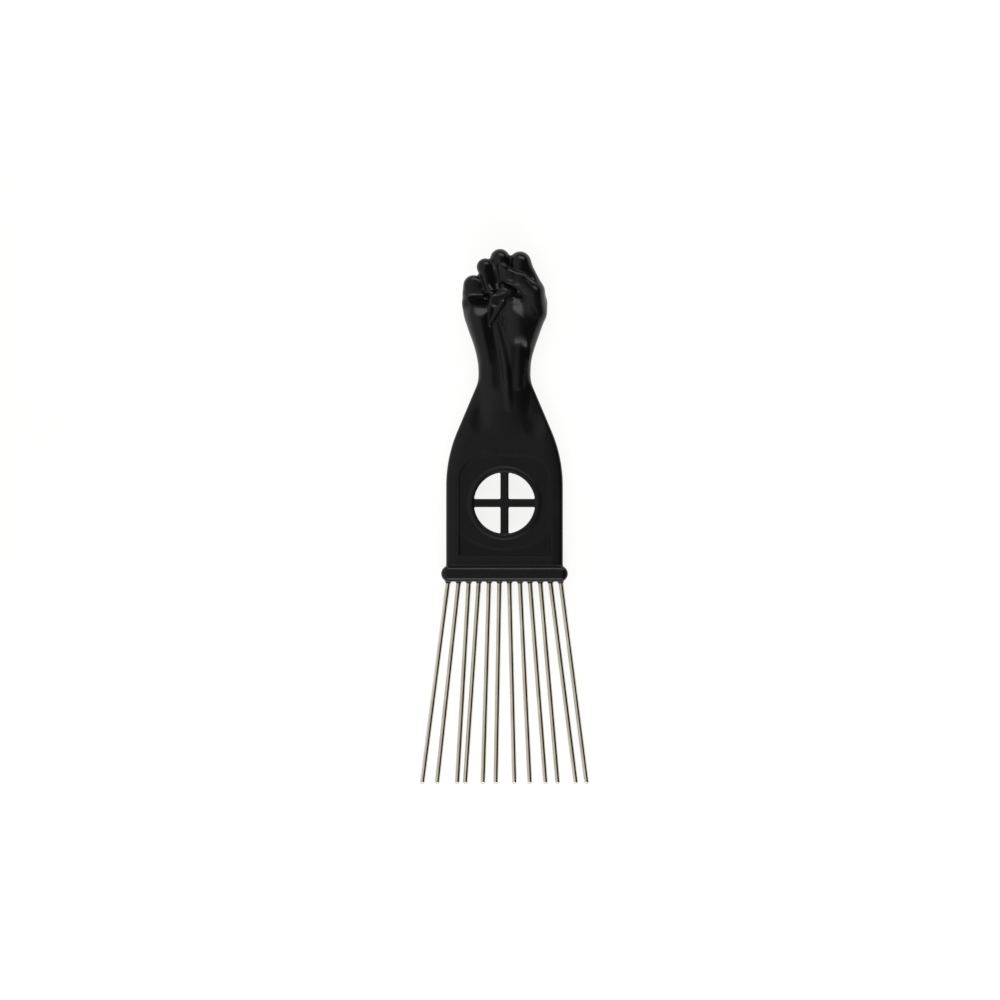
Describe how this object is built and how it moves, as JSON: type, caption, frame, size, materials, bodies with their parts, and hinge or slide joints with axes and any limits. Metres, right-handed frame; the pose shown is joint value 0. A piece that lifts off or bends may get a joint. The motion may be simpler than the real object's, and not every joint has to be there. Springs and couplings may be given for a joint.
{
  "type": "afro pick",
  "caption": "Afro pick with long plated steel wire teeth set in a black plastic handle, whose flared panel has a round cross-barred window and ends in a clenched fist.",
  "frame": {"origin": "middle of the pick's length and width, on the surface it lies on with its back down", "axes": "+Y from the tooth tips to the fist, +Z out of the palm side of the fist, +X to the right seen from there"},
  "size_m": [0.057, 0.1799, 0.0127],
  "materials": {
    "black_plastic": "moulded black plastic with a soft gloss",
    "steel_wire": "drawn steel wire, warm nickel plate, polished"
  },
  "bodies": {
    "root": {"handle": "black_plastic", "hairpin_1_left_leg": "steel_wire", "hairpin_1_right_leg": "steel_wire", "hairpin_1_bend": "steel_wire", "hairpin_2_left_leg": "steel_wire", "hairpin_2_right_leg": "steel_wire", "hairpin_2_bend": "steel_wire", "hairpin_3_left_leg": "steel_wire", "hairpin_3_right_leg": "steel_wire", "hairpin_3_bend": "steel_wire", "hairpin_4_left_leg": "steel_wire", "hairpin_4_right_leg": "steel_wire", "hairpin_4_bend": "steel_wire", "hairpin_5_left_leg": "steel_wire", "hairpin_5_right_leg": "steel_wire", "hairpin_5_bend": "steel_wire", "hairpin_6_left_leg": "steel_wire", "hairpin_6_right_leg": "steel_wire", "hairpin_6_bend": "steel_wire"}
  },
  "joints": []
}
